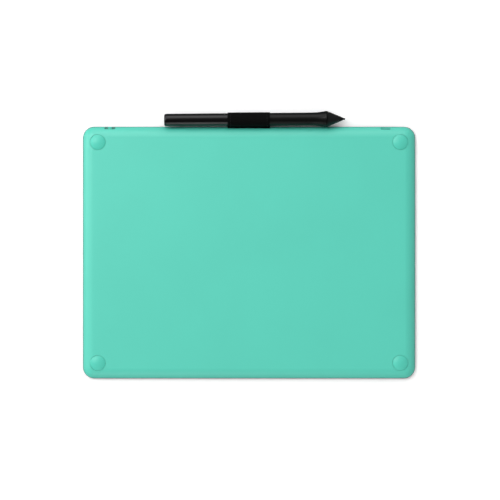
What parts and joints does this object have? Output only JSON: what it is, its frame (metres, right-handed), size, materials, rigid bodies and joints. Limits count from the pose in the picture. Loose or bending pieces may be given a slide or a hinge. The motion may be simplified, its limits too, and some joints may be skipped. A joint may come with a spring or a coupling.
{
  "type": "pen drawing tablet",
  "caption": "Thin flat pen drawing tablet lying face down, with rounded corners, domed round feet on its back and a pen held in a cloth loop on its long edge.",
  "frame": {"origin": "middle of the drawing face, which the tablet lies on", "axes": "+X along the long side towards the pen's point, +Y across the tablet towards the pen edge, +Z out of the back"},
  "size_m": [0.264, 0.2121, 0.0131],
  "materials": {
    "case_mint": "fine textured moulding, mint green",
    "foot_mint": "smooth soft rubber, coloured to match the back",
    "panel_black": "fine textured moulding, black",
    "surface_black": "paper-like drawing sheet",
    "key_black": "satin key caps",
    "power_mint": "satin",
    "light_white": "frosted light guide",
    "board_green": "solder mask",
    "chip_black": "moulded chips",
    "spring_steel": "snap domes and sheet metal",
    "screw_steel": "dark plated",
    "port_steel": "plated port shell",
    "shield_foil": "rolled sheet",
    "battery_wrap": "foil pouch",
    "wire_red": "insulated wire",
    "plug_white": "moulded plug",
    "ribbon_amber": "flexible circuit",
    "loop_webbing": "woven elastic webbing, black",
    "pen_gloss": "semi-gloss moulding",
    "pen_matte": "soft-touch coating",
    "pen_cone": "satin moulding",
    "nib_grey": "smooth nib",
    "carrier_grey": "inner carrier",
    "ferrite_grey": "sintered ferrite",
    "coil_copper": "enamelled copper winding"
  },
  "bodies": {
    "tablet": {"battery": "battery_wrap", "battery_lead": "wire_red", "battery_plug": "plug_white", "board_chips": "chip_black", "board_screws": "screw_steel", "case_screws": "screw_steel", "clamp_screws": "screw_steel", "drawing_surface": "surface_black", "foot_1": "foot_mint", "foot_2": "foot_mint", "foot_3": "foot_mint", "foot_4": "foot_mint", "front_panel": "panel_black", "key_domes": "spring_steel", "loop_clamp": "spring_steel", "main_board": "board_green", "pen_loop": "loop_webbing", "power_switch": "chip_black", "radio_module": "port_steel", "rear_cover": "case_mint", "sensor_board": "board_green", "sensor_ribbon": "ribbon_amber", "shield_plate": "shield_foil", "status_led": "light_white", "status_light": "light_white", "switch_board": "board_green", "switch_ribbon": "ribbon_amber", "usb_shell": "port_steel", "usb_tongue": "chip_black"},
    "pen": {"pen_front_barrel": "pen_matte", "pen_nose_cone": "pen_cone", "spare_nibs": "nib_grey", "pen_chassis": "carrier_grey", "pen_board": "board_green", "pen_domes": "spring_steel", "pressure_sensor": "carrier_grey", "pen_ferrite": "ferrite_grey", "pen_coil": "coil_copper", "side_switch_pin": "screw_steel"},
    "rear_barrel": {"pen_rear_barrel": "pen_gloss"},
    "rocker": {"side_switch": "pen_cone"},
    "nib": {"pen_nib": "nib_grey", "nib_socket": "carrier_grey"},
    "power": {"power_button": "power_mint"},
    "key_1": {"express_key_1": "key_black"},
    "key_2": {"express_key_2": "key_black"},
    "key_3": {"express_key_3": "key_black"},
    "key_4": {"express_key_4": "key_black"}
  },
  "joints": [
    {"name": "pen_slide", "type": "slide", "parent": "tablet", "child": "pen", "axis": [1, 0.0063, 0], "range_m": [-0.0065, 0.085]},
    {"name": "rear_barrel_pull", "type": "slide", "parent": "pen", "child": "rear_barrel", "axis": [-1, -0.0063, 0], "range_m": [0, 0.04]},
    {"name": "side_switch_rock", "type": "hinge", "parent": "pen", "child": "rocker", "pos_m": [0.0339, 0.10556, 0.00283], "axis": [-0.0063, 1, 0], "range_deg": [-1.2, 1.2], "stiffness_Nm_per_rad": 0.4},
    {"name": "nib_press", "type": "slide", "parent": "pen", "child": "nib", "axis": [-1, -0.0063, 0], "range_m": [0, 0.0003], "stiffness_N_per_m": 3000},
    {"name": "power_press", "type": "slide", "parent": "tablet", "child": "power", "axis": [0, -1, 0], "range_m": [0, 0.0004], "stiffness_N_per_m": 3000},
    {"name": "key_press_1", "type": "slide", "parent": "tablet", "child": "key_1", "axis": [0, 0, 1], "range_m": [0, 0.0004], "stiffness_N_per_m": 3000},
    {"name": "key_press_2", "type": "slide", "parent": "tablet", "child": "key_2", "axis": [0, 0, 1], "range_m": [0, 0.0004], "stiffness_N_per_m": 3000},
    {"name": "key_press_3", "type": "slide", "parent": "tablet", "child": "key_3", "axis": [0, 0, 1], "range_m": [0, 0.0004], "stiffness_N_per_m": 3000},
    {"name": "key_press_4", "type": "slide", "parent": "tablet", "child": "key_4", "axis": [0, 0, 1], "range_m": [0, 0.0004], "stiffness_N_per_m": 3000}
  ]
}
